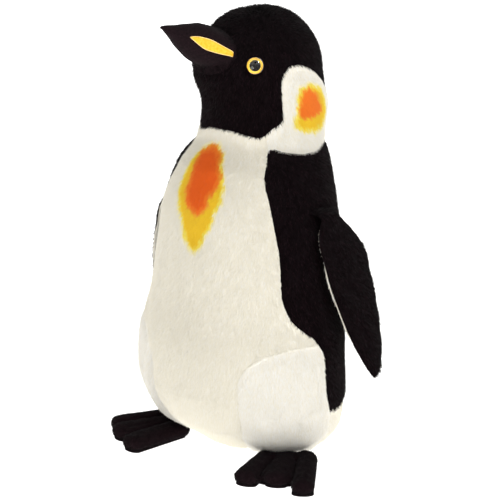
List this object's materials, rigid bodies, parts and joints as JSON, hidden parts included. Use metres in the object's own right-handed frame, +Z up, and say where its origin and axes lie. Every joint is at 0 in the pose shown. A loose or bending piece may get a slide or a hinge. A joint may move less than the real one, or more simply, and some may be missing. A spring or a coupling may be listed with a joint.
{
  "type": "plush penguin",
  "caption": "Large standing plush penguin with sewn black and white panels, a felt beak, domed eyes, hinged wings, three-toed feet and a short tail.",
  "frame": {"origin": "middle of the object's bounding box in X and Y, on the floor it stands on", "axes": "+Z up, towards the crown of the head; -Y is the way the body faces; +X is its left side"},
  "size_m": [0.4002, 0.297, 0.6101],
  "materials": {
    "black_plush": "short dense black pile, matt with a faint directional sheen",
    "white_plush": "short dense cream-white pile, airbrushed orange and yellow on the chest and cheeks",
    "white_lining": "smooth off-white brushed cloth",
    "base_cloth": "plain woven cream cloth",
    "black_felt": "soft black felt with a very short nap",
    "yellow_felt": "golden yellow felt",
    "fibre_filling": "loose white polyester fibre",
    "pellet_cloth": "plain woven bag filled with plastic pellets",
    "eye_backing": "black moulded plastic",
    "amber_iris": "amber to yellow, seen through the lens",
    "black_pupil": "glossy black",
    "clear_lens": "clear polished dome",
    "washer_plastic": "white pressed locking washer"
  },
  "bodies": {
    "trunk": {"belly_left": "white_plush", "belly_right": "white_plush", "back_left": "black_plush", "back_right": "black_plush", "rump_left": "white_plush", "rump_right": "white_plush", "thigh_left": "white_plush", "thigh_right": "white_plush", "base_panel": "base_cloth", "cheek_left": "white_plush", "cheek_right": "white_plush", "hood_left": "black_plush", "hood_right": "black_plush", "pellet_bag": "pellet_cloth", "body_stuffing": "fibre_filling", "head_stuffing": "fibre_filling", "beak_left": "black_felt", "beak_right": "black_felt", "beak_stuffing": "fibre_filling", "beak_stripe_left": "yellow_felt", "beak_stripe_right": "yellow_felt", "eye_left_stem": "eye_backing", "eye_left_iris": "amber_iris", "eye_left_pupil": "black_pupil", "eye_left_lens": "clear_lens", "eye_left_washer": "washer_plastic", "eye_right_stem": "eye_backing", "eye_right_iris": "amber_iris", "eye_right_pupil": "black_pupil", "eye_right_lens": "clear_lens", "eye_right_washer": "washer_plastic"},
    "wing_left": {"wing_left_outer": "black_plush", "wing_left_lining": "white_lining", "wing_left_stuffing": "fibre_filling"},
    "wing_right": {"wing_right_outer": "black_plush", "wing_right_lining": "white_lining", "wing_right_stuffing": "fibre_filling"},
    "foot_left": {"foot_left_upper": "black_felt", "foot_left_sole": "black_felt", "foot_left_stuffing_inner": "fibre_filling", "foot_left_stuffing_middle": "fibre_filling", "foot_left_stuffing_outer": "black_plush"},
    "foot_right": {"foot_right_upper": "black_felt", "foot_right_sole": "black_felt", "foot_right_stuffing_inner": "fibre_filling", "foot_right_stuffing_middle": "fibre_filling", "foot_right_stuffing_outer": "black_plush"},
    "tail": {"tail_upper": "black_plush", "tail_under": "black_plush", "tail_stuffing": "fibre_filling"}
  },
  "joints": [
    {"name": "wing_left_lift", "type": "hinge", "parent": "trunk", "child": "wing_left", "pos_m": [0.139, 0.00047, 0.342], "axis": [0.0872, -0.9962, 0], "range_deg": [0, 60]},
    {"name": "wing_right_lift", "type": "hinge", "parent": "trunk", "child": "wing_right", "pos_m": [-0.139, 0.00047, 0.342], "axis": [0.0872, 0.9962, 0], "range_deg": [0, 60]},
    {"name": "foot_left_flex", "type": "hinge", "parent": "trunk", "child": "foot_left", "pos_m": [0.107, -0.04053, 0.01], "axis": [0.7593, 0.6508, 0], "range_deg": [0, 22]},
    {"name": "foot_right_flex", "type": "hinge", "parent": "trunk", "child": "foot_right", "pos_m": [-0.107, -0.04053, 0.01], "axis": [0.7593, -0.6508, 0], "range_deg": [0, 22]},
    {"name": "tail_lift", "type": "hinge", "parent": "trunk", "child": "tail", "pos_m": [0, 0.10747, 0.074], "axis": [1, 0, 0], "range_deg": [0, 40]}
  ]
}
